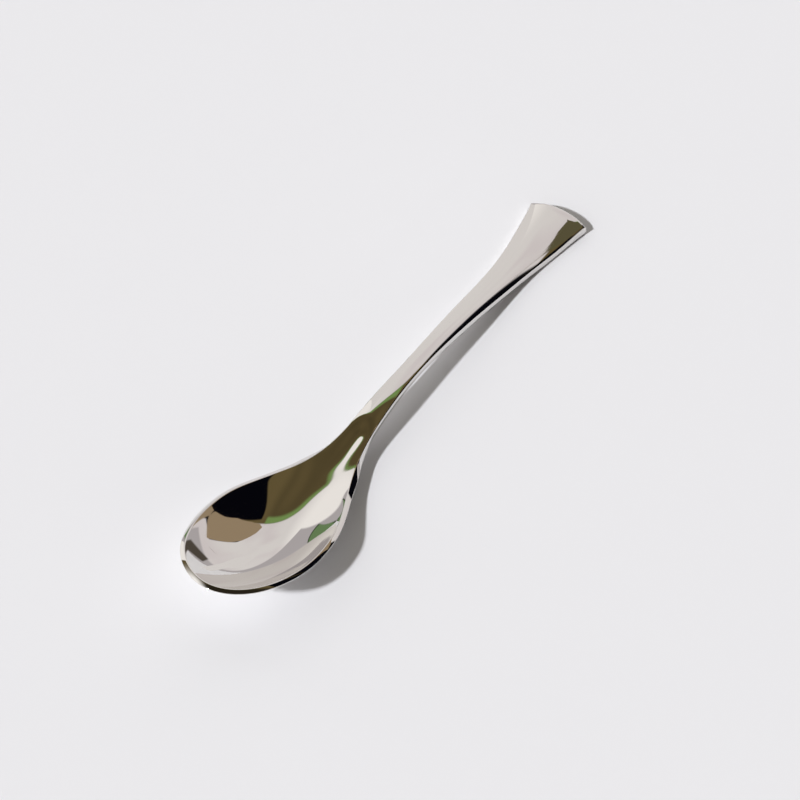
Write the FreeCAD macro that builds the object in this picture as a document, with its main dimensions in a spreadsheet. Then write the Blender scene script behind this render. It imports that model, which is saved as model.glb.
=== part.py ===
import FreeCAD, Part
import math
import os
import Sketcher
from FreeCAD import Vector

# Quenelle spoon, one piece of polished steel, in millimetres.
# X runs along the spoon, from the round tip of the bowl to the end of the handle.
# Z is up, Y is across, and Z = 0 is the table that the spoon rests on.
# Stations along the spoon are distances from the tip of the bowl.

doc = FreeCAD.newDocument("quenelle_spoon")
sheet = doc.addObject("Spreadsheet::Sheet", "sizes")

SIZES = [
    ("overall_length", 144.7, "tip of the bowl to the middle of the end"),
    ("steel_bowl", 1.1, "thickness of the bowl"),
    ("lowest_at", 27.8, "station of the lowest point of the bowl"),
    ("tip_height", 12.47, "height of the inner edge of the rim at the tip"),
    ("side_height", 8.57, "height of the inner edge of the rim at the widest part"),
    ("rim_setback", 0.8, "inner edge of the rim behind the tip"),
    ("rim_lean", 26.0, "degrees by which the face of the rim slopes down outward"),
    ("widest_at", 20.5, "station of the widest part of the bowl"),
    ("widest_half", 13.4, "half the width inside the rim there"),
    ("dip_at", 45.0, "station of the lowest point of the edge, before the neck"),
    ("dip_height", 3.75, "height of the edge there"),
    ("neck_at", 53.0, "station where the bowl runs out into the neck"),
    ("neck_half", 3.75, "half the width there"),
    ("arch_at", 76.0, "station of the top of the arch of the handle"),
    ("arch_height", 7.3, "height of the edge there"),
    ("waist_at", 78.0, "station of the narrowest part of the handle"),
    ("waist_half", 2.25, "half the width there"),
    ("foot_length", 13.4, "from the place where the handle rests on the table to its end"),
    ("end_lift", 0.6, "height of the corners of the end over the table"),
    ("end_half", 7.8, "half the width at the sharp corners"),
    ("end_rise", 1.2, "height of the arc of the end over its chord"),
    ("wall_neck", 1.7, "height of the side wall at the neck"),
    ("wall_middle", 1.5, "height of the side wall along the handle"),
    ("wall_end", 1.95, "height of the side wall at the corners"),
    ("crown_neck", 0.42, "height of the middle over the edges, at the neck"),
    ("crown_end", 1.15, "height of the middle over the edges, at the end"),
    ("belly", 0.5, "how far the underside swells below the side walls"),
    ("rim_round", 0.3, "rounding of the rim and of the shoulder at the neck"),
    ("end_round", 0.9, "rounding of the end edge and of the shoulder at the corners"),
    ("under_round", 0.3, "rounding of the lower edge of the end"),
]
for row, (name, value, note) in enumerate(SIZES, start=1):
    sheet.set("A%d" % row, note)
    sheet.set("B%d" % row, str(value))
    sheet.setAlias("B%d" % row, name)
doc.recompute()


def size(name):
    return float(sheet.get(name))


LENGTH = size("overall_length")
CORNER = LENGTH - size("end_rise")
FOOT = LENGTH - size("foot_length")
LOWEST = size("lowest_at")
WIDEST = size("widest_at")
DIP = size("dip_at")
NECK = size("neck_at")
ARCH = size("arch_at")
WAIST = size("waist_at")
STEEL = size("steel_bowl")
PAST_END = LENGTH + 2 * STEEL


def across(station):
    """X of a station measured from the tip of the bowl."""
    return station - LENGTH / 2


def between(start, stop, share):
    return start + (stop - start) * share


def ease(value, start, stop):
    """Smooth step from 0 to 1 between two stations."""
    t = min(1.0, max(0.0, (value - start) / (stop - start)))
    return t * t * (3 - 2 * t)


def stretch(start, stop, shares):
    """Points between two (station, value) points, each given by two shares of the way."""
    return [(between(start[0], stop[0], along), between(start[1], stop[1], up)) for along, up in shares]


def curve_through(pairs):
    """Smooth function through a few (station, value) pairs."""
    curve = Part.BSplineCurve()
    curve.interpolate(Points=[Vector(at, value, 0) for at, value in pairs],
                      Parameters=[at for at, value in pairs])

    def value_at(station):
        return curve.value(station).y
    return value_at


# Outline seen from above: the inner edge of the rim, running on as the edges of the handle.
tip = (size("rim_setback"), 0.0)
widest = (WIDEST, size("widest_half"))
neck = (NECK, size("neck_half"))
waist = (WAIST, size("waist_half"))
corner = (CORNER, size("end_half"))
HALF_OUTLINE = (
    [tip] + stretch(tip, widest, [(0.071, 0.373), (0.264, 0.702), (0.569, 0.910)])
    + [widest] + stretch(widest, neck, [(0.292, 0.130), (0.538, 0.440), (0.785, 0.793)])
    + [neck] + stretch(neck, waist, [(0.36, 0.60)])
    + [waist] + stretch(waist, corner, [(0.276, 0.090), (0.521, 0.234), (0.704, 0.414), (0.858, 0.694)])
    + [corner, (PAST_END, 1.128 * size("end_half"))])
outline = Part.BSplineCurve()
outline.interpolate([Vector(across(at), half, 0) for at, half in reversed(HALF_OUTLINE)]
                    + [Vector(across(at), -half, 0) for at, half in HALF_OUTLINE[1:]])
MIDWAY = (outline.FirstParameter + outline.LastParameter) / 2


def outline_at(station):
    """Parameter of the outline on its second, negative Y side, at a station."""
    low, high = MIDWAY, outline.LastParameter
    for step in range(60):
        guess = (low + high) / 2
        if outline.value(guess).x < across(station):
            low = guess
        else:
            high = guess
    return (low + high) / 2


def half_width(station):
    """Half the width of the outline at a station."""
    return abs(outline.value(outline_at(station)).y)


# The bowl is a dish whose floor and walls climb with the square of the distance from its lowest point.
RISE = (size("tip_height") - STEEL) / (LOWEST - size("rim_setback")) ** 2
CURL = (size("side_height") - STEEL - RISE * (LOWEST - WIDEST) ** 2) / size("widest_half") ** 2


def dish(station, y):
    """Height of the upper face in the bowl, before it climbs into the handle."""
    return STEEL + RISE * (LOWEST - station) ** 2 + CURL * y * y


# Height of the upper face along its edge: down from the bowl, over the arch and down to the table.
DISH_STATIONS = [0.72 * LOWEST, 0.86 * LOWEST, LOWEST]
rim_points = [(at, dish(at, half_width(at))) for at in DISH_STATIONS]
dip = (DIP, size("dip_height"))
arch = (ARCH, size("arch_height"))
foot = (FOOT, size("wall_end"))
edge_line = curve_through(
    rim_points + stretch(rim_points[-1], dip, [(0.30, 0.43), (0.65, 0.80)])
    + [dip] + stretch(dip, arch, [(0.19, 0.14), (0.42, 0.53), (0.68, 0.89)])
    + [arch] + stretch(arch, foot, [(0.25, 0.12), (0.49, 0.42), (0.70, 0.765), (0.86, 0.94)])
    + [foot] + [(between(FOOT, CORNER, share), size("wall_end") + size("end_lift") * share ** 2)
                for share in (0.5, 1.0, (PAST_END - FOOT) / (CORNER - FOOT))])

# Height of the floor of the bowl as it climbs into the handle.
floor_points = [(at, dish(at, 0)) for at in DISH_STATIONS]
arch_top = (ARCH, size("arch_height") + size("crown_neck"))
floor_line = curve_through(
    floor_points
    + stretch(floor_points[-1], arch_top, [(0.17, 0.084), (0.335, 0.255), (0.50, 0.504), (0.67, 0.79)]))


def crown(station):
    return between(size("crown_neck"), size("crown_end"), ease(station, NECK, LENGTH))


def middle(station):
    """Height of the upper face on the middle line."""
    if station <= LOWEST:
        return dish(station, 0)
    part = ease(station, 0.9 * NECK, 1.13 * NECK)
    floor = floor_line(min(station, 1.13 * NECK))
    back = edge_line(station) + crown(station)
    return between(floor, back, part)


def curl(station):
    """Height gained across the section, per square millimetre from the middle line."""
    if station <= LOWEST:
        return CURL
    return (edge_line(station) - middle(station)) / half_width(station) ** 2


def upper(station, y):
    """Height of the upper face."""
    return middle(station) + curl(station) * y * y


def wall(station):
    """Height of the side wall of the handle."""
    from_neck = between(size("wall_neck"), size("wall_middle"), ease(station, 0.8 * WAIST, WAIST))
    return between(from_neck, size("wall_end"),
                   ease(station, between(WAIST, FOOT, 0.55), between(WAIST, FOOT, 0.9)))


def under(station):
    """Height of the underside on the middle line, and its curl."""
    half = max(half_width(max(station, 2 * STEEL)), size("neck_half") * (1 - ease(station, DIP, NECK)))
    climb = (middle(station + STEEL / 2) - middle(station - STEEL / 2)) / STEEL
    edge_climb = 2 * curl(station) * half
    bowl_middle = middle(station) - STEEL * math.sqrt(1 + climb ** 2)
    bowl_edge = upper(station, half) - STEEL * math.sqrt(1 + climb ** 2 + edge_climb ** 2)
    handle_edge = upper(station, half) - wall(station)
    swell = 1 - ease(station, between(ARCH, FOOT, 0.35), between(ARCH, FOOT, 0.85))
    handle_middle = handle_edge - size("belly") * swell
    part = ease(station, 0.83 * NECK, 1.13 * NECK)
    low = between(bowl_middle, handle_middle, part)
    low_edge = between(bowl_edge, handle_edge, part)
    return low, (low_edge - low) / half ** 2


def lower(station, y):
    """Height of the underside."""
    low, low_curl = under(station)
    return low + low_curl * y * y


def section(station):
    """Upper and lower curve of a cross-section, both wider than the outline."""
    round_bowl = size("widest_half") + 3 * STEEL
    spare = between(2.5, 0.73, ease(station, NECK, 1.13 * NECK))
    past_edge = half_width(max(station, LOWEST)) + spare * STEEL
    reach = between(round_bowl, past_edge, ease(station, LOWEST, NECK))
    x = across(station)

    def arc(height, bend):
        # a parabola, given by its two ends and the crossing of its end tangents
        return [Vector(x, -reach, height + bend * reach ** 2), Vector(x, 0, height - bend * reach ** 2),
                Vector(x, reach, height + bend * reach ** 2)]
    low, low_curl = under(station)
    return arc(middle(station), curl(station)), arc(low, low_curl)


def face_through(arcs):
    """Smooth face through a row of parabolas, one at each station."""
    rails = []
    for pole in range(3):
        rail = Part.BSplineCurve()
        rail.interpolate(Points=[arc[pole] for arc in arcs], Parameters=stations)
        rails.append(rail)
    surface = Part.BSplineSurface()
    along = rails[0]
    surface.buildFromPolesMultsKnots([rail.getPoles() for rail in rails], [3, 3], along.getMultiplicities(),
                                     [0.0, 1.0], along.getKnots(), False, False, 2, along.Degree)
    return surface.toShape()


def spread(start, stop, count):
    return [between(start, stop, step / count) for step in range(1, count + 1)]


before_tip = -3.5 * STEEL
stations = ([before_tip] + spread(before_tip, LOWEST, 4) + spread(LOWEST, NECK, 6) + spread(NECK, ARCH, 3)
            + spread(ARCH, FOOT, 6) + spread(FOOT, PAST_END, 3))
sections = [section(at) for at in stations]
upper_face = face_through([above for above, below in sections])
lower_face = face_through([below for above, below in sections])


def slab_side(place):
    """Flat or ruled side between the upper and the lower face, along one of their four edges."""
    return Part.makeRuledSurface(upper_face.Edges[place], lower_face.Edges[place])


slab = Part.makeSolid(Part.makeShell([upper_face, lower_face] + [slab_side(place) for place in range(4)]))

# Edge surface: leans outward along the rim and stands upright along the handle.
LEAN = math.radians(size("rim_lean"))


def edge_rail(reach, count=60):
    """Curve at a distance from the outline, along the lean of the rim."""
    points = []
    for step in range(count + 1):
        at = between(outline.FirstParameter, outline.LastParameter, step / count)
        p = outline.value(at)
        tangent = outline.tangent(at)[0]
        outward = Vector(tangent.y, -tangent.x, 0)
        station = p.x + LENGTH / 2
        lean = between(LEAN, math.pi / 2, ease(station, 0.83 * NECK, 1.13 * NECK))
        away = outward * (reach * math.cos(lean)) - Vector(0, 0, reach * math.sin(lean))
        points.append(Vector(p.x, p.y, upper(station, p.y)) + away)
    rail = Part.BSplineCurve()
    rail.interpolate(points, Parameters=[step / count for step in range(count + 1)])
    return rail.toShape()


edge_surface = Part.makeRuledSurface(edge_rail(-1.8 * STEEL), edge_rail(4.5 * STEEL)).Surface
u1, u2, v1, v2 = edge_surface.bounds()
neck_share = (outline_at(NECK) - outline.FirstParameter) / (outline.LastParameter - outline.FirstParameter)
strips = []
for start, stop in ((0.0, 1 - neck_share), (1 - neck_share, neck_share), (neck_share, 1.0)):
    strip = edge_surface.copy()
    strip.segment(between(u1, u2, start), between(u1, u2, stop), v1, v2)
    strips.append(strip.toShape())
pieces = slab.generalFuse(strips, 1e-5)[0].Solids
blank = doc.addObject("Part::Feature", "blank")
blank.Shape = max(pieces, key=lambda piece: piece.Volume)
blank.Placement = FreeCAD.Placement()

# Convex end of the handle, drawn as the waste beyond it.
half = size("end_half")
bend = (half ** 2 + size("end_rise") ** 2) / (2 * size("end_rise"))
sweep = math.asin(half / bend)
start_x, stop_x = across(CORNER), across(CORNER) + half
waste = doc.addObject("Sketcher::SketchObject", "end_outline")
middle_of_arc = Vector(across(LENGTH) - bend, 0, 0)
waste.addGeometry(Part.ArcOfCircle(Part.Circle(middle_of_arc, Vector(0, 0, 1), bend), -sweep, sweep), False)
AROUND = [(start_x, half), (start_x, 2 * half), (stop_x, 2 * half),
          (stop_x, -2 * half), (start_x, -2 * half), (start_x, -half)]
for (x1, y1), (x2, y2) in zip(AROUND, AROUND[1:]):
    waste.addGeometry(Part.LineSegment(Vector(x1, y1, 0), Vector(x2, y2, 0)), False)
for line in range(5):
    waste.addConstraint(Sketcher.Constraint("Coincident", line, 2, line + 1, 1))
waste.addConstraint(Sketcher.Constraint("Coincident", 5, 2, 0, 1))
for line in (1, 3, 5):
    waste.addConstraint(Sketcher.Constraint("Vertical", line))
for line in (2, 4):
    waste.addConstraint(Sketcher.Constraint("Horizontal", line))
waste.addConstraint(Sketcher.Constraint("PointOnObject", 0, 3, -1))
waste.addConstraint(Sketcher.Constraint("Symmetric", 1, 2, 4, 2, -1))
BEND = "(sizes.end_half^2 + sizes.end_rise^2) / (2 * sizes.end_rise)"
CORNER_AT = "sizes.overall_length / 2 - sizes.end_rise"
NAMED = [
    (Sketcher.Constraint("Radius", 0, bend), "bend", BEND),
    (Sketcher.Constraint("DistanceX", -1, 1, 0, 2, start_x), "corner_at", CORNER_AT),
    (Sketcher.Constraint("DistanceY", -1, 1, 0, 2, half), "corner_half", "sizes.end_half"),
    (Sketcher.Constraint("DistanceX", 2, 1, 2, 2, half), "waste_long", "sizes.end_half"),
    (Sketcher.Constraint("DistanceY", -1, 1, 1, 2, 2 * half), "waste_half", "2 * sizes.end_half"),
]
for constraint, name, formula in NAMED:
    index = waste.addConstraint(constraint)
    waste.renameConstraint(index, name)
    waste.setExpression("Constraints." + name, formula)
waste_block = doc.addObject("Part::Extrusion", "end_waste")
waste_block.Base = waste
waste_block.DirMode = "Normal"
waste_block.setExpression("LengthFwd", "4 * sizes.end_half")
waste_block.Symmetric = True
waste_block.Solid = True
trimmed = doc.addObject("Part::Cut", "trimmed")
trimmed.Base = blank
trimmed.Tool = waste_block
doc.recompute()


def radii(edge):
    """Rounding at the start and at the stop of an edge, or None for an edge that stays sharp."""
    first, last = edge.Vertexes[0].Point, edge.Vertexes[-1].Point
    p = edge.valueAt((edge.FirstParameter + edge.LastParameter) / 2)
    station = p.x + LENGTH / 2
    upright = abs(first.z - last.z) > 0.5 * edge.Length
    on_top = abs(p.z - upper(station, p.y)) < abs(p.z - lower(station, p.y))
    at_end = min(first.x, last.x, p.x) > across(CORNER) - 0.5 * STEEL
    if upright or not (on_top or at_end):
        return None
    if at_end:
        radius = size("end_round" if on_top else "under_round")
        return radius, radius
    if max(first.x, last.x) < across(NECK) + 0.5 * STEEL:
        return size("rim_round"), size("rim_round")
    if first.x < last.x:
        return size("rim_round"), size("end_round")
    return size("end_round"), size("rim_round")


rounds = []
for index, edge in enumerate(trimmed.Shape.Edges, start=1):
    pair = radii(edge)
    if pair:
        rounds.append((index,) + pair)
spoon = doc.addObject("Part::Fillet", "spoon")
spoon.Base = trimmed
spoon.Edges = rounds
spoon.Label = "spoon"
spoon.Placement = FreeCAD.Placement()
doc.recompute()

for item in doc.Objects:
    if "Invalid" in item.State or "Error" in item.State:
        raise RuntimeError("%s did not build" % item.Name)
if spoon.Shape.isNull() or not spoon.Shape.isValid() or len(spoon.Shape.Solids) != 1:
    raise RuntimeError("the spoon is not one sound solid")
os.makedirs("parts", exist_ok=True)
spoon.Shape.exportStep("parts/spoon.step")
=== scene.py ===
import math

import bmesh
import bpy
import numpy as np
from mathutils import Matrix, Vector

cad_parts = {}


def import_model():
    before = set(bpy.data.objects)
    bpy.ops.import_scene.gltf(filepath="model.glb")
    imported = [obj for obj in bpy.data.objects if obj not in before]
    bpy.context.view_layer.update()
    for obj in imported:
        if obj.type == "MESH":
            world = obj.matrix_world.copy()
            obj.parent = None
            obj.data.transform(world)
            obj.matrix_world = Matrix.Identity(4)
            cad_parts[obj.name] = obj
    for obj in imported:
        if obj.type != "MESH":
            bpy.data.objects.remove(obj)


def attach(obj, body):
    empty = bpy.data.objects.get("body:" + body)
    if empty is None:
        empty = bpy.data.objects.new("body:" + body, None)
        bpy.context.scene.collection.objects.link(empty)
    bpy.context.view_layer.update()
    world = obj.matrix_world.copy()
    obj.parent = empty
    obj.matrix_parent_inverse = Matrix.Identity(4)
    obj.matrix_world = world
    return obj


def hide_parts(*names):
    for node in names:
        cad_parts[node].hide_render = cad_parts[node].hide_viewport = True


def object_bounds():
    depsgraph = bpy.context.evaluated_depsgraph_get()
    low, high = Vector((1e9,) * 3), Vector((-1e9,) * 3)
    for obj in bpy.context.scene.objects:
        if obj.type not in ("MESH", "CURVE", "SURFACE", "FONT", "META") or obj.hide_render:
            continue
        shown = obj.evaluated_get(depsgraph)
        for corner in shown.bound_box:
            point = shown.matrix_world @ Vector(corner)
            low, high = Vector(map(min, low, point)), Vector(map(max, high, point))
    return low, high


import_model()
cad_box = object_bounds()

# Sizes of the spoon, in millimetres.
# Stations are distances from the tip of the bowl; X is a station less half the length.
LENGTH = 144.7
STEEL = 1.1
LOWEST = 27.8
TIP_HEIGHT = 12.47
SIDE_HEIGHT = 8.57
SETBACK = 0.8
LEAN = math.radians(26.0)
WIDEST, WIDEST_HALF = 20.5, 13.4
DIP, DIP_HEIGHT = 45.0, 3.75
NECK, NECK_HALF = 53.0, 3.75
ARCH, ARCH_HEIGHT = 76.0, 7.3
WAIST, WAIST_HALF = 78.0, 2.25
FOOT = LENGTH - 13.4
END_LIFT = 0.6
END_HALF, END_RISE = 7.8, 1.2
CORNER = LENGTH - END_RISE
WALL_NECK, WALL_MIDDLE, WALL_END = 1.7, 1.5, 1.95
CROWN_NECK, CROWN_END = 0.42, 1.15
BELLY = 0.5
RIM_ROUND, END_ROUND, LOW_ROUND = 0.3, 0.9, 0.15
PAST_END = LENGTH + 2 * STEEL
BEND = (END_HALF ** 2 + END_RISE ** 2) / (2 * END_RISE)
END_CENTRE = LENGTH / 2 - BEND


def between(start, stop, share):
    return start + (stop - start) * share


def ease(value, start, stop):
    """Smooth step from 0 to 1 between two stations."""
    t = np.clip((value - start) / (stop - start), 0.0, 1.0)
    return t * t * (3 - 2 * t)


def stretch(start, stop, shares):
    """Points between two (station, value) points, each given by two shares of the way."""
    return [(between(start[0], stop[0], along), between(start[1], stop[1], up)) for along, up in shares]


def curve(at, values):
    """Cubic curve through values, smooth at every one of them."""
    at, values = np.array(at, float), np.array(values, float)
    gap, last = np.diff(at), len(at) - 1
    rise = np.diff(values) / gap
    matrix, known = np.zeros((last + 1, last + 1)), np.zeros(last + 1)
    matrix[0, 0] = matrix[last, last] = 1.0
    known[0] = np.polyfit(at[:4] - at[0], values[:4], 3)[2]
    known[last] = np.polyfit(at[-4:] - at[-1], values[-4:], 3)[2]
    for i in range(1, last):
        matrix[i, i - 1:i + 2] = 1 / gap[i - 1], 2 / gap[i - 1] + 2 / gap[i], 1 / gap[i]
        known[i] = 3 * (rise[i - 1] / gap[i - 1] + rise[i] / gap[i])
    slope = np.linalg.solve(matrix, known)

    def value_at(place):
        i = np.clip(np.searchsorted(at, place) - 1, 0, last - 1)
        t = (place - at[i]) / gap[i]
        bend_in = gap[i] * slope[i] - (values[i + 1] - values[i])
        bend_out = (values[i + 1] - values[i]) - gap[i] * slope[i + 1]
        return between(values[i], values[i + 1], t) + t * (1 - t) * between(bend_in, bend_out, t)
    return value_at


def curve_through(pairs):
    return curve(*zip(*pairs))


# Outline seen from above: from the tip along one edge to the end.
tip, widest, neck, waist = (SETBACK, 0.0), (WIDEST, WIDEST_HALF), (NECK, NECK_HALF), (WAIST, WAIST_HALF)
corner = (CORNER, END_HALF)
HALF_OUTLINE = (
    [tip] + stretch(tip, widest, [(0.071, 0.373), (0.264, 0.702), (0.569, 0.910)])
    + [widest] + stretch(widest, neck, [(0.292, 0.130), (0.538, 0.440), (0.785, 0.793)])
    + [neck] + stretch(neck, waist, [(0.36, 0.60)])
    + [waist] + stretch(waist, corner, [(0.276, 0.090), (0.521, 0.234), (0.704, 0.414), (0.858, 0.694)])
    + [corner, (PAST_END, 1.128 * END_HALF)])
whole = np.array([(at, -half) for at, half in reversed(HALF_OUTLINE)] + HALF_OUTLINE[1:])
chords = np.concatenate([[0.0], np.cumsum(np.hypot(*np.diff(whole, axis=0).T))])
outline_x, outline_y = curve(chords, whole[:, 0]), curve(chords, whole[:, 1])
AT_TIP = chords[len(HALF_OUTLINE) - 1]
fine = np.linspace(AT_TIP, chords[-1], 6000)


def half_width(station):
    return np.interp(station, outline_x(fine), outline_y(fine))


RISE = (TIP_HEIGHT - STEEL) / (LOWEST - SETBACK) ** 2
CURL = (SIDE_HEIGHT - STEEL - RISE * (LOWEST - WIDEST) ** 2) / WIDEST_HALF ** 2


def dish(station, y):
    return STEEL + RISE * (LOWEST - station) ** 2 + CURL * y * y


DISH_STATIONS = [0.72 * LOWEST, 0.86 * LOWEST, LOWEST]
rim_points = [(at, dish(at, half_width(at))) for at in DISH_STATIONS]
dip, arch, foot = (DIP, DIP_HEIGHT), (ARCH, ARCH_HEIGHT), (FOOT, WALL_END)
edge_line = curve_through(
    rim_points + stretch(rim_points[-1], dip, [(0.30, 0.43), (0.65, 0.80)])
    + [dip] + stretch(dip, arch, [(0.19, 0.14), (0.42, 0.53), (0.68, 0.89)])
    + [arch] + stretch(arch, foot, [(0.25, 0.12), (0.49, 0.42), (0.70, 0.765), (0.86, 0.94)])
    + [foot] + [(between(FOOT, CORNER, share), WALL_END + END_LIFT * share ** 2)
                for share in (0.5, 1.0, (PAST_END - FOOT) / (CORNER - FOOT))])
floor_points = [(at, dish(at, 0)) for at in DISH_STATIONS]
floor_line = curve_through(
    floor_points + stretch(floor_points[-1], (ARCH, ARCH_HEIGHT + CROWN_NECK),
                           [(0.17, 0.084), (0.335, 0.255), (0.50, 0.504), (0.67, 0.79)]))


def middle(station):
    """Height of the upper face on the middle line."""
    if station <= LOWEST:
        return dish(station, 0)
    back = edge_line(station) + between(CROWN_NECK, CROWN_END, ease(station, NECK, LENGTH))
    return between(floor_line(min(station, 1.13 * NECK)), back, ease(station, 0.9 * NECK, 1.13 * NECK))


def curl(station):
    if station <= LOWEST:
        return CURL
    return (edge_line(station) - middle(station)) / half_width(station) ** 2


def under(station):
    """Height of the underside on the middle line, and its curl."""
    half = max(half_width(max(station, 2 * STEEL)), NECK_HALF * (1 - ease(station, DIP, NECK)))
    climb = (middle(station + STEEL / 2) - middle(station - STEEL / 2)) / STEEL
    edge = middle(station) + curl(station) * half ** 2
    bowl_middle = middle(station) - STEEL * math.sqrt(1 + climb ** 2)
    bowl_edge = edge - STEEL * math.sqrt(1 + climb ** 2 + (2 * curl(station) * half) ** 2)
    wall = between(between(WALL_NECK, WALL_MIDDLE, ease(station, 0.8 * WAIST, WAIST)), WALL_END,
                   ease(station, between(WAIST, FOOT, 0.55), between(WAIST, FOOT, 0.9)))
    flat = ease(station, between(ARCH, FOOT, 0.35), between(ARCH, FOOT, 0.85))
    handle_middle = edge - wall - BELLY * (1 - flat)
    part = ease(station, 0.83 * NECK, 1.13 * NECK)
    low = between(bowl_middle, handle_middle, part)
    return low, (between(bowl_edge, edge - wall, part) - low) / half ** 2


def spread(start, stop, count):
    return [between(start, stop, step / count) for step in range(1, count + 1)]


BEFORE_TIP = -3.5 * STEEL
STATIONS = ([BEFORE_TIP] + spread(BEFORE_TIP, LOWEST, 4) + spread(LOWEST, NECK, 6)
            + spread(NECK, ARCH, 3) + spread(ARCH, FOOT, 6) + spread(FOOT, PAST_END, 3))


def reach(station):
    spare = between(2.5, 0.73, ease(station, NECK, 1.13 * NECK))
    past_edge = half_width(max(station, LOWEST)) + spare * STEEL
    return between(WIDEST_HALF + 3 * STEEL, past_edge, ease(station, LOWEST, NECK))


def face(heights, curls):
    """Height of a face whose cross-sections are parabolas, from those at the stations."""
    reaches = [reach(at) for at in STATIONS]
    width = curve(STATIONS, reaches)
    height = curve(STATIONS, heights)
    bend = curve(STATIONS, [bend * wide ** 2 for bend, wide in zip(curls, reaches)])

    def height_at(station, y):
        return height(station) + bend(station) * (y / width(station)) ** 2
    return height_at


upper = face([middle(at) for at in STATIONS], [curl(at) for at in STATIONS])
lower = face([under(at)[0] for at in STATIONS], [under(at)[1] for at in STATIONS])


# Shallow forms that only the visible spoon has.
FURROW_DEPTH, FURROW_HALF = 0.7, 2.1
FURROW_START, FURROW_DEEPEST, FURROW_STOP = 43.0, 57.0, 62.0
ROLL_WIDTH, ROLL_MIDDLE, ROLL_HALF, ROLL_DROP = 2.3, -1.2, 6.6, 0.07


def furrow(station, y):
    """Depth of the furrow that runs from the bowl into the neck."""
    along = ease(station, FURROW_START, FURROW_DEEPEST) * (1 - ease(station, FURROW_DEEPEST, FURROW_STOP))
    return FURROW_DEPTH * along * np.exp(-(y / FURROW_HALF) ** 2)


def end_x(y):
    """X of the rounded end."""
    return END_CENTRE + np.sqrt(BEND ** 2 - y ** 2)


def roll_off(station, y):
    """Drop of the upper face near the rounded end, widest a little to one side of the middle."""
    wide = ROLL_WIDTH * np.clip(1 - ((y - ROLL_MIDDLE) / ROLL_HALF) ** 2, 0, 1)
    to_end = end_x(np.clip(y, -END_HALF, END_HALF)) + LENGTH / 2 - station
    return ROLL_DROP * np.clip(wide - to_end, 0, None) ** 2


def top_face(station, y):
    """Height of the visible upper face."""
    return upper(station, y) - furrow(station, y) - roll_off(station, y)


# Mesh of the spoon: an upper face, an underside and a rounded strip all the way around.
# The strip along a side stops a little before the corner. The last rows of the faces bulge like the end.
COLUMNS = 64
BOWL_STEPS, HANDLE_STEPS = 150, 120
TOP_ARC, LOW_ARC = 8, 4
BEFORE_CORNER = 1.05
BULGE_LENGTH = 12.0
DEEPEST_WALL = 4.5 * STEEL
HALVINGS = 40
DIGITS = 5


def unit(vectors):
    return vectors / np.linalg.norm(vectors, axis=-1, keepdims=True)


def dot(one, other):
    return np.sum(one * other, axis=-1, keepdims=True)


def lifted(height, x, y):
    """Points of a face, given by its height, over x and y."""
    return np.stack([x, y, height(x + LENGTH / 2, y)], axis=-1)


def slopes(height, x, y):
    """Slopes of a face along and across the spoon."""
    small = 0.01
    along = (height(x + LENGTH / 2 + small, y) - height(x + LENGTH / 2 - small, y)) / (2 * small)
    aside = (height(x + LENGTH / 2, y + small) - height(x + LENGTH / 2, y - small)) / (2 * small)
    return along, aside


def on_face(x, y, along, aside):
    """Directions on a face with these slopes, each from its course seen from above."""
    return unit(np.stack([x, y, x * along + y * aside], axis=-1))


def course(at):
    """Course of the outline on the side of negative y, as unmeasured steps in x and y."""
    small = 0.01
    return outline_x(at + small) - outline_x(at - small), outline_y(at - small) - outline_y(at + small)


def rounded(point, inward, wall, radius, count):
    """Arc that rounds the edge between two faces, from the first face to the second."""
    angle = np.arccos(dot(inward, wall))
    centre = point + (inward + wall) * radius / np.sin(angle)
    tangent = radius / np.tan(angle / 2)
    one, other = point + inward * tangent - centre, point + wall * tangent - centre
    turn = math.pi - angle
    share = np.linspace(0, 1, count + 1)[:, None, None]
    return centre + (np.sin((1 - share) * turn) * one + np.sin(share * turn) * other) / np.sin(turn)


def strip(top, low, outward, top_radius, low_radius):
    """Cross-sections of the edge, each from the upper face down to the underside."""
    wall = low - top
    halves = []
    for height, point, across_wall, radius, count in ((top_face, top, wall, top_radius, TOP_ARC),
                                                      (lower, low, -wall, low_radius, LOW_ARC)):
        along, aside = slopes(height, point[:, 0], point[:, 1])
        run = on_face(-outward[:, 1], outward[:, 0], along, aside)
        inward = -on_face(outward[:, 0], outward[:, 1], along, aside)
        inward = unit(inward - run * dot(inward, run))
        side = unit(across_wall - run * dot(across_wall, run))
        halves.append(rounded(point, inward, side, radius[:, None], count))
    halves[0][0, :, 2] = top_face(halves[0][0, :, 0] + LENGTH / 2, halves[0][0, :, 1])
    halves[1][0, :, 2] = lower(halves[1][0, :, 0] + LENGTH / 2, halves[1][0, :, 1])
    return np.concatenate([halves[0], halves[1][::-1]]).transpose(1, 0, 2)


def mitre(point, normal, side, end, radius, count):
    """Line where the rounded edges of the side and of the end meet, down to the corner."""
    centre = point + np.linalg.solve(np.array([normal, side, end]), np.full(3, -radius))
    along_side, along_end = unit(np.cross(side, normal)), unit(np.cross(normal, end))
    out = unit(np.cross(along_side - along_end, normal))
    out = out * np.sign(np.dot(out, side + end))
    stretch_out = 1 / math.sqrt(1 - np.dot(out, along_side) ** 2)
    stop = math.atan2(np.dot(side, out) * stretch_out, np.dot(side, normal))
    turns = np.linspace(0, stop, count + 1)[:, None]
    return centre + radius * (np.cos(turns) * normal + np.sin(turns) * stretch_out * out)


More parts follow.
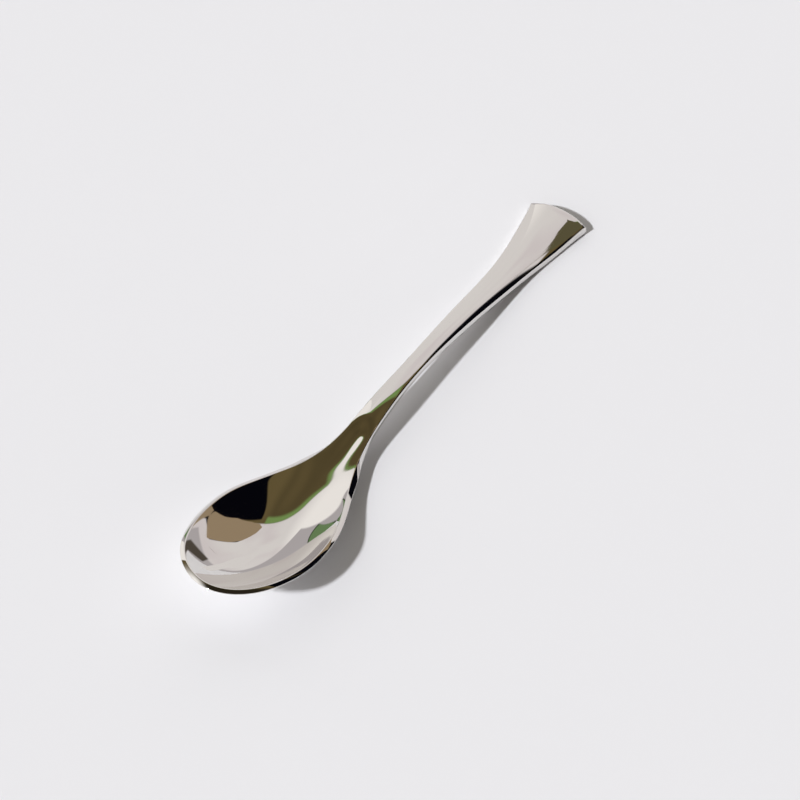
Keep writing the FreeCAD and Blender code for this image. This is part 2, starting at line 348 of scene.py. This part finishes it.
def side_strip():
    """Edge strip from the tip to the last place before the corner, on the side of negative y."""
    corner_at = np.interp(CORNER - BEFORE_CORNER, outline_x(fine), fine)
    neck_at = np.interp(NECK, outline_x(fine), fine)
    at = np.concatenate([np.linspace(AT_TIP, neck_at, BOWL_STEPS)[:-1],
                         np.linspace(neck_at, corner_at, HANDLE_STEPS)])
    station, y = outline_x(at), -outline_y(at)
    along, aside = course(at)
    outward = unit(np.stack([aside, -along], axis=-1))
    lean = between(LEAN, math.pi / 2, ease(station, 0.83 * NECK, 1.13 * NECK))
    down = np.stack([outward[:, 0] * np.cos(lean), outward[:, 1] * np.cos(lean), -np.sin(lean)], axis=-1)
    top = lifted(top_face, station - LENGTH / 2, y)
    near, far = np.zeros(len(at)), np.full(len(at), DEEPEST_WALL)
    for step in range(HALVINGS):
        guess = (near + far) / 2
        point = top + down * guess[:, None]
        above = point[:, 2] > lower(point[:, 0] + LENGTH / 2, point[:, 1])
        near, far = np.where(above, guess, near), np.where(above, far, guess)
    low = top + down * near[:, None]
    on_handle = np.clip((station - NECK) / (CORNER - NECK), 0, 1)
    return strip(top, low, outward, between(RIM_ROUND, END_ROUND, on_handle), np.full(len(at), LOW_ROUND))


def end_strip(inner_half):
    """Edge strip along the end, without its two corners, from negative to positive y."""
    y = np.linspace(-inner_half, inner_half, COLUMNS + 1)[1:-1]
    x = end_x(y)
    outward = unit(np.stack([x - END_CENTRE, y], axis=-1))
    count = len(y)
    return strip(lifted(top_face, x, y), lifted(lower, x, y), outward, np.full(count, END_ROUND),
                 np.full(count, LOW_ROUND))


def corner_line():
    """Edge strip's cross-section at the corner on the side of negative y."""
    x, y = CORNER - LENGTH / 2, -END_HALF
    at = np.interp(CORNER, outline_x(fine), fine)
    along, aside = course(at)
    side = unit(np.array([aside, -along, 0.0]))
    end = unit(np.array([x - END_CENTRE, y, 0.0]))
    lines = []
    for height, sign, radius, count in ((top_face, 1, END_ROUND, TOP_ARC),
                                        (lower, -1, LOW_ROUND, LOW_ARC)):
        climb_x, climb_y = slopes(height, x, y)
        normal = sign * unit(np.array([-climb_x, -climb_y, 1.0]))
        point = np.array([x, y, height(x + LENGTH / 2, y)])
        line = mitre(point, normal, side, end, radius, count)
        line[0, 2] = height(line[0, 0] + LENGTH / 2, line[0, 1])
        lines.append(line)
    return np.concatenate([lines[0], lines[1][::-1]])


def face_grid(height, edge, last):
    """Rows of points across a face, from the tip to the end, between the inner borders of the strip."""
    shares = last[:, 1] / last[-1, 1]
    x, half = edge[:, 0], -edge[:, 1]
    near_end = np.clip((x - x[-1] + BULGE_LENGTH) / BULGE_LENGTH, 0, 1)[:, None]
    bulge = near_end ** 2 * (last[:, 0] - last[0, 0])
    grid = lifted(height, x[:, None] + bulge, half[:, None] * shares)
    grid[-1] = last
    return grid


def quads(grid, flip):
    """Corner points of the quads of a grid."""
    square = [grid[:-1, :-1], grid[1:, :-1], grid[1:, 1:], grid[:-1, 1:]]
    return np.stack(square[::-1] if flip else square, axis=2).reshape(-1, 3)


def spoon_mesh():
    """Points and faces of the closed mesh."""
    corner_points = corner_line()
    side = np.concatenate([side_strip(), corner_points[None]])
    other_corner = corner_points * (1, -1, 1)
    end = np.concatenate([corner_points[None], end_strip(-corner_points[0, 1]), other_corner[None]])
    top = face_grid(top_face, side[:, 0], end[:, 0])
    low = face_grid(lower, side[:, -1], end[:, -1])
    points = np.concatenate([quads(top, False), quads(low, True), quads(side, True),
                             quads(side * (1, -1, 1), False), quads(end, True)])
    kept, places = np.unique(np.round(points, DIGITS), axis=0, return_inverse=True)
    faces = []
    for square in places.reshape(-1, 4).tolist():
        face = [place for step, place in enumerate(square) if place != square[step - 1]]
        if len(face) > 2:
            faces.append(face)
    return kept, faces


class Wire:
    """A socket's value. Sums and the like on it add the Math nodes that work them out."""

    def __init__(self, nodes, socket):
        self.nodes = nodes
        self.socket = socket

    def math(self, operation, *others):
        return self.nodes.add("ShaderNodeMath", enumerate((self, *others)), operation=operation)

    def __add__(self, other):
        return self.math("ADD", other)

    def __sub__(self, other):
        return self.math("SUBTRACT", other)

    def __rsub__(self, other):
        return self.nodes.add("ShaderNodeMath", enumerate((other, self)), operation="SUBTRACT")

    def __mul__(self, other):
        return self.math("MULTIPLY", other)

    def __truediv__(self, other):
        return self.math("DIVIDE", other)

    __radd__ = __add__
    __rmul__ = __mul__

    def step(self, start, stop):
        """Smooth step from 0 to 1 as this value goes from start to stop."""
        sockets = {"Value": self, "From Min": start, "From Max": stop}
        return self.nodes.add("ShaderNodeMapRange", sockets, "Result", interpolation_type="SMOOTHSTEP")


class Nodes:
    """Adds nodes to a material or a world."""

    def __init__(self, owner):
        owner.use_nodes = True
        self.tree = owner.node_tree

    def fill(self, socket, value):
        """Gives a socket a link, a number, a vector or a colour."""
        if isinstance(value, Wire):
            self.tree.links.new(value.socket, socket)
        elif socket.type == "RGBA":
            socket.default_value = (*value, 1.0)
        else:
            socket.default_value = value

    def add(self, kind, sockets=(), output=0, **settings):
        """Adds a node of a type with its settings, then fills its sockets."""
        node = self.tree.nodes.new(kind)
        for name, value in settings.items():
            setattr(node, name, value)
        for name, value in dict(sockets).items():
            self.fill(node.inputs[name], value)
        return Wire(self, node.outputs[output])

    def set_look(self, name, **sockets):
        """Fills the sockets of the node that gives the material or world its look."""
        for socket, value in sockets.items():
            self.fill(self.tree.nodes[name].inputs[socket.replace("_", " ")], value)

    def mix(self, share, one, other):
        """Colour between two colours."""
        factor, first, second, result = 0, 6, 7, 2
        sockets = {factor: share, first: one, second: other}
        return self.add("ShaderNodeMix", sockets, result, data_type="RGBA")

    def noise(self, coordinates, kind):
        scale, detail = kind
        sockets = {"Vector": coordinates, "Scale": scale, "Detail": detail}
        return self.add("ShaderNodeTexNoise", sockets, "Fac")


# Finish of the steel. A noise is its scale, in cycles a metre, and its detail.
# Edges of the mesh that turn by more than the sharp angle, in radians, stay sharp.
WEAR_NOISE, MARK_NOISE, WAVE_NOISE = (90.0, 3.0), (420.0, 4.0), (70.0, 1.0)
WEAR_RANGE, MARK_RANGE = (0.35, 0.75), (0.55, 0.8)
MARK_STRETCH = (1.0, 14.0, 14.0)
POLISH, WEAR_ROUGHNESS, MARK_ROUGHNESS = 0.022, 0.03, 0.03
WARM_STEEL, LIGHT_STEEL = (0.735, 0.715, 0.69), (0.76, 0.74, 0.72)
WAVE_DEPTH, MARK_DEPTH = 0.00001, 0.02
SHARP_ANGLE = 0.6


def steel():
    """Polished steel with a slight waviness, cloudy patches of wear and fine wiping marks."""
    material = bpy.data.materials.new("polished_steel")
    nodes = Nodes(material)
    place = nodes.add("ShaderNodeTexCoord", output="Object")
    stretched = nodes.add("ShaderNodeMapping", {"Vector": place, "Scale": MARK_STRETCH}, "Vector")
    wear = nodes.noise(place, WEAR_NOISE)
    marks = nodes.noise(stretched, MARK_NOISE)
    worn = wear.step(*WEAR_RANGE) * WEAR_ROUGHNESS + marks.step(*MARK_RANGE) * MARK_ROUGHNESS
    height = nodes.noise(place, WAVE_NOISE) + marks * MARK_DEPTH
    bump = {"Distance": WAVE_DEPTH, "Strength": 1.0, "Height": height}
    nodes.set_look("Principled BSDF", Metallic=1.0, Roughness=worn + POLISH,
                   Base_Color=nodes.mix(wear, WARM_STEEL, LIGHT_STEEL),
                   Normal=nodes.add("ShaderNodeBump", bump, "Normal"))
    return material


def new_object(name, mesh, material):
    piece = bpy.data.objects.new(name, mesh)
    bpy.context.collection.objects.link(piece)
    mesh.materials.append(material)
    return piece


def spoon():
    """The visible spoon, which takes the place of the solid."""
    points, faces = spoon_mesh()
    low, high = (np.array(corner) * 1000 for corner in cad_box)
    points = np.clip(points, low, high)
    mesh = bpy.data.meshes.new("polished_spoon")
    mesh.from_pydata((points / 1000).tolist(), [], faces)
    mesh.shade_smooth()
    mesh.set_sharp_from_angle(angle=SHARP_ANGLE)
    piece = new_object("polished_spoon", mesh, steel())
    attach(piece, "root")
    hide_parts("spoon")


FLOOR_HALF, FLOOR_ROUGHNESS = 4.0, 0.9
FLOOR_COLOUR = (0.81, 0.815, 0.835)


def floor():
    """Plain pale floor that the spoon rests on."""
    form = bmesh.new()
    bmesh.ops.create_grid(form, x_segments=1, y_segments=1, size=FLOOR_HALF)
    mesh = bpy.data.meshes.new("floor")
    form.to_mesh(mesh)
    form.free()
    material = bpy.data.materials.new("floor")
    Nodes(material).set_look("Principled BSDF", Roughness=FLOOR_ROUGHNESS, Base_Color=FLOOR_COLOUR)
    plane = new_object("floor", mesh, material)
    plane.location.z = cad_box[0][2]


# Colours around the spoon.
WHITE, PALE_PINK, BRIGHT = (0.83, 0.80, 0.785), (0.765, 0.71, 0.715), (1.05, 1.02, 0.99)
WEST_LIGHT = (1.2, 1.18, 1.15)
GREY = (0.50, 0.47, 0.48)
TAN = (0.36, 0.27, 0.17)
GREEN = (0.20, 0.32, 0.10)
OLIVE = (0.12, 0.105, 0.055)
BROWN, LIGHT_BROWN, DARK_BROWN = (0.085, 0.064, 0.028), (0.145, 0.108, 0.046), (0.025, 0.02, 0.012)
BLACK = (0.002, 0.002, 0.004)
STREAK = (0.09, 0.075, 0.06)
LEAF, LEAF_EDGE = (0.16, 0.26, 0.115), (0.04, 0.06, 0.03)

# Map of directions. Its middle is straight up, and degrees from there run outward.
# North is away from the camera, and east is to its right. U runs east, and V runs north.
EAST, NORTH, UP = (0.5495, -0.8355, 0.0), (0.8355, 0.5495, 0.0), (0.0, 0.0, 1.0)

# Zones of the map. A line is its V where U is 0, and its slope. An edge fades in over twice its softness.
SOFT = 0.8
WALL_NOISE, WALL_RANGE = (3.0, 1.0), (0.3, 0.7)
BRIGHT_EDGE, BRIGHT_SOFT = -15.0, 9.0
WINDOW_TOP, WINDOW_WEST, WINDOW_EAST = 86.0, 15.0, 14.0
WEST_BEND, EAST_BEND = 0.0275, 0.0148
WALL_LINE, WALL_SOFT = (31.0, -0.85), 1.0
STREAK_TOP, STREAK_FOOT = (103.6, -0.6), (105.5, -0.758)
STREAK_EDGE, STREAK_SOFT = 43.5, 1.0
LEAF_U, LEAF_V, LEAF_LEAN = -39.0, 79.0, 0.2
LEAF_HALF_LENGTH, LEAF_HALF_WIDTH = 17.0, 3.9
LEAF_LINE, LEAF_SOFT = (-4.65, -1.9), 0.5
LEAF_EDGE_RANGE, LEAF_RANGE = (1.3, 1.15), (1.05, 0.85)
BAND_LINES = ((6.0, 1.0), (36.0, 0.232), (143.0, -1.614))
BAND_EDGE, BAND_SOFT = 34.5, 2.5
CEILING_NOISE, CEILING_RANGE = (2.0, 1.0), (0.25, 0.85)
CEILING_LINE = (28.0, -0.15)
LIGHT_BROWN_EDGE, LIGHT_BROWN_SOFT = 23.0, 6.0
DARK_BROWN_EDGE, DARK_BROWN_SOFT = -3.0, 7.0
GREEN_LINE, GREEN_LINE_SOFT = (24.8, -0.24), 1.2
GREEN_EDGE, GREEN_SOFT = 24.0, 1.5
PANEL_TOP, PANEL_EDGE = 20.0, 29.5
PANEL_BEND_FROM, PANEL_BEND = 18.0, 0.045
SOUTH_RANGE = (60.0, 70.0)
SOUTH_EDGE, SOUTH_SOFT = -20.0, 10.0
WEST_EDGE, WEST_SOFT = -40.0, 12.0
WEST_TOP, WEST_TOP_SOFT = 19.0, 15.0

# Corners of the glowing cards that the steel reflects, in millimetres: painted reflections that light
# nothing.
TAN_REFLECTION_CARD = [(-3, -24, 26), (1, -32, 32), (2, -30, 39), (4, -30, 50), (4, -20, 63), (2, -10, 68),
            (-2, -2.5, 62), (-5.5, -0.5, 49), (-9, -0.5, 33), (-10, -2, 27), (-11, -5.5, 19)]
OLIVE_REFLECTION_CARD = [(92, 3.5, 40), (89.5, -9, 39), (87.5, -16, 38.4), (84.4, -16.5, 37.5), (83, -9.5, 37.4),
              (84.2, -4.8, 37.7), (87.2, 0.3, 38.6)]
WHITE_REFLECTION_CARD = [(8, 28, 14), (28, 28, 14), (31, 28, 2), (85, 28, 2), (85, 28, 50), (8, 28, 50)]


class Map:
    """Directions of the world as U and V. The part on one side of an edge is 1, and the rest is 0."""

    def __init__(self, nodes, direction):
        def along(axis):
            return nodes.add("ShaderNodeVectorMath", {0: direction, 1: axis}, "Value",
                             operation="DOT_PRODUCT")

        east, north, up = along(EAST), along(NORTH), along(UP)
        flat = (east * east + north * north + 1e-6).math("SQRT")
        self.degrees = up.math("ARCCOSINE") * (180 / math.pi)
        self.u = self.degrees * (east / flat)
        self.v = self.degrees * (north / flat)

    def v_of(self, line):
        """V of a line, at each U."""
        start, slope = line
        return self.u * slope + start

    def south_of(self, edge, soft=SOFT):
        return (edge - self.v).step(-soft, soft)

    def north_of(self, edge, soft=SOFT):
        return (self.v - edge).step(-soft, soft)

    def west_of(self, edge, soft=SOFT):
        return (edge - self.u).step(-soft, soft)

    def east_of(self, edge, soft=SOFT):
        return (self.u - edge).step(-soft, soft)


def light_walls(nodes, direction, here):
    """Pale wall with a bright part in the west, up to the curved edge of the grey wall."""
    clouds = nodes.noise(direction, WALL_NOISE).step(*WALL_RANGE)
    white = nodes.mix(clouds, WHITE, PALE_PINK)
    white = nodes.mix(here.west_of(BRIGHT_EDGE, BRIGHT_SOFT), white, BRIGHT)
    west_part = (here.u - WINDOW_WEST).math("MINIMUM", 0)
    east_part = (here.u - WINDOW_EAST).math("MAXIMUM", 0)
    bend = west_part * west_part * WEST_BEND + east_part * east_part * EAST_BEND
    edge = (WINDOW_TOP - bend).math("MAXIMUM", here.v_of(WALL_LINE))
    return nodes.mix(here.south_of(edge, WALL_SOFT), GREY, white)


def streak(nodes, here, colour):
    """Dark streak in the east."""
    part = here.south_of(here.v_of(STREAK_TOP)) * here.north_of(here.v_of(STREAK_FOOT))
    return nodes.mix(part * here.east_of(STREAK_EDGE, STREAK_SOFT), colour, STREAK)


def leaf(nodes, here, colour):
    """Green leaf with a dark edge, in the north-west."""
    north = here.v - LEAF_V
    long_way = north / LEAF_HALF_LENGTH
    wide_way = (here.u - LEAF_U + north * LEAF_LEAN) / LEAF_HALF_WIDTH
    ellipse = long_way * long_way + wide_way * wide_way
    side = here.north_of(here.v_of(LEAF_LINE), LEAF_SOFT)
    colour = nodes.mix(ellipse.step(*LEAF_EDGE_RANGE) * side, colour, LEAF_EDGE)
    return nodes.mix(ellipse.step(*LEAF_RANGE) * side, colour, LEAF)


def black_band(nodes, here, colour):
    """Black band in the east, between three lines."""
    one, two, three = (here.south_of(here.v_of(line)) for line in BAND_LINES)
    return nodes.mix(one * two * three * here.east_of(BAND_EDGE, BAND_SOFT), colour, BLACK)


def ceiling(nodes, direction, here, colour):
    """Brown ceiling with a green edge and a black panel."""
    clouds = nodes.noise(direction, CEILING_NOISE).step(*CEILING_RANGE)
    brown = nodes.mix(clouds, BROWN, LIGHT_BROWN)
    brown = nodes.mix(here.east_of(LIGHT_BROWN_EDGE, LIGHT_BROWN_SOFT), brown, LIGHT_BROWN)
    brown = nodes.mix(here.south_of(DARK_BROWN_EDGE, DARK_BROWN_SOFT), brown, DARK_BROWN)
    inside = here.south_of(here.v_of(CEILING_LINE))
    colour = nodes.mix(inside, colour, brown)
    green = inside * here.north_of(here.v_of(GREEN_LINE), GREEN_LINE_SOFT)
    colour = nodes.mix(green * here.west_of(GREEN_EDGE, GREEN_SOFT), colour, GREEN)
    bend = (PANEL_BEND_FROM - here.v).math("MAXIMUM", 0).math("POWER", 2) * PANEL_BEND
    panel = here.south_of(PANEL_TOP) * here.east_of(bend + PANEL_EDGE)
    return nodes.mix(panel, colour, BLACK)


def low_lights(nodes, here, colour):
    """Pale light low in the south, and a bright one in the west."""
    south = here.degrees.step(*SOUTH_RANGE) * here.south_of(SOUTH_EDGE, SOUTH_SOFT)
    colour = nodes.mix(south, colour, WHITE)
    west = here.west_of(WEST_EDGE, WEST_SOFT) * here.south_of(WEST_TOP, WEST_TOP_SOFT)
    return nodes.mix(west, colour, WEST_LIGHT)


def world():
    """Studio around the spoon, drawn zone by zone on the map of directions."""
    studio = bpy.data.worlds.new("studio")
    bpy.context.scene.world = studio
    nodes = Nodes(studio)
    direction = nodes.add("ShaderNodeTexCoord", output="Generated")
    here = Map(nodes, direction)
    colour = light_walls(nodes, direction, here)
    colour = streak(nodes, here, colour)
    colour = leaf(nodes, here, colour)
    colour = black_band(nodes, here, colour)
    colour = ceiling(nodes, direction, here, colour)
    nodes.set_look("Background", Color=low_lights(nodes, here, colour), Strength=1.0)


def card(name, corners, colour):
    """Glowing coloured card, a painted reflection: it lights nothing, casts no shadow and only shows as a
    reflection in the steel.
    """
    form = bmesh.new()
    form.faces.new([form.verts.new(Vector(corner) / 1000) for corner in corners])
    mesh = bpy.data.meshes.new(name)
    form.to_mesh(mesh)
    form.free()
    material = bpy.data.materials.new(name)
    Nodes(material).set_look("Principled BSDF", Base_Color=(0, 0, 0), Specular_IOR_Level=0.0,
                             Emission_Color=colour, Emission_Strength=1.0)
    piece = new_object(name, mesh, material)
    piece.visible_camera = False
    piece.visible_diffuse = False
    piece.visible_shadow = False


SUN_STRENGTH, SUN_COLOUR, SUN_WIDTH = 3.32, (1.0, 1.0, 1.03), math.radians(4.0)
SUN_COURSE = Vector((1.227, -0.346, -1.0))


def sun():
    """Soft key light that draws the shadow."""
    lamp = bpy.data.lights.new("key", "SUN")
    lamp.energy = SUN_STRENGTH
    lamp.color = SUN_COLOUR
    lamp.angle = SUN_WIDTH
    light = bpy.data.objects.new("key", lamp)
    bpy.context.collection.objects.link(light)
    light.rotation_euler = SUN_COURSE.to_track_quat("-Z", "Y").to_euler()


# Camera: the point that it looks at and its distance in millimetres, its angles in degrees,
# and its focal length and the picture's width in pixels.
TARGET, DISTANCE = Vector((2.11, 0.21, 0.0)), 600.15
ELEVATION, AZIMUTH = math.radians(48.38), math.radians(-146.66)
FOCAL, PICTURE_WIDTH = 2650.1, 800.0
SENSOR_WIDTH = 36.0


def camera():
    data = bpy.data.cameras.new("photo")
    data.sensor_width = SENSOR_WIDTH
    data.lens = SENSOR_WIDTH * FOCAL / PICTURE_WIDTH
    data.clip_start = 0.01
    data.clip_end = 20.0
    eye = bpy.data.objects.new("photo", data)
    bpy.context.collection.objects.link(eye)
    flat = math.cos(ELEVATION)
    away = Vector((flat * math.cos(AZIMUTH), flat * math.sin(AZIMUTH), math.sin(ELEVATION)))
    eye.location = (TARGET + away * DISTANCE) / 1000
    eye.rotation_euler = (-away).to_track_quat("-Z", "Y").to_euler()
    bpy.context.scene.camera = eye


spoon()
floor()
world()
# Glowing cards that only show as painted reflections in the steel.
card("tan_reflection_card", TAN_REFLECTION_CARD, TAN)
card("olive_reflection_card", OLIVE_REFLECTION_CARD, OLIVE)
card("white_reflection_card", WHITE_REFLECTION_CARD, WHITE)
sun()
camera()
bpy.context.scene.view_settings.view_transform = "Standard"
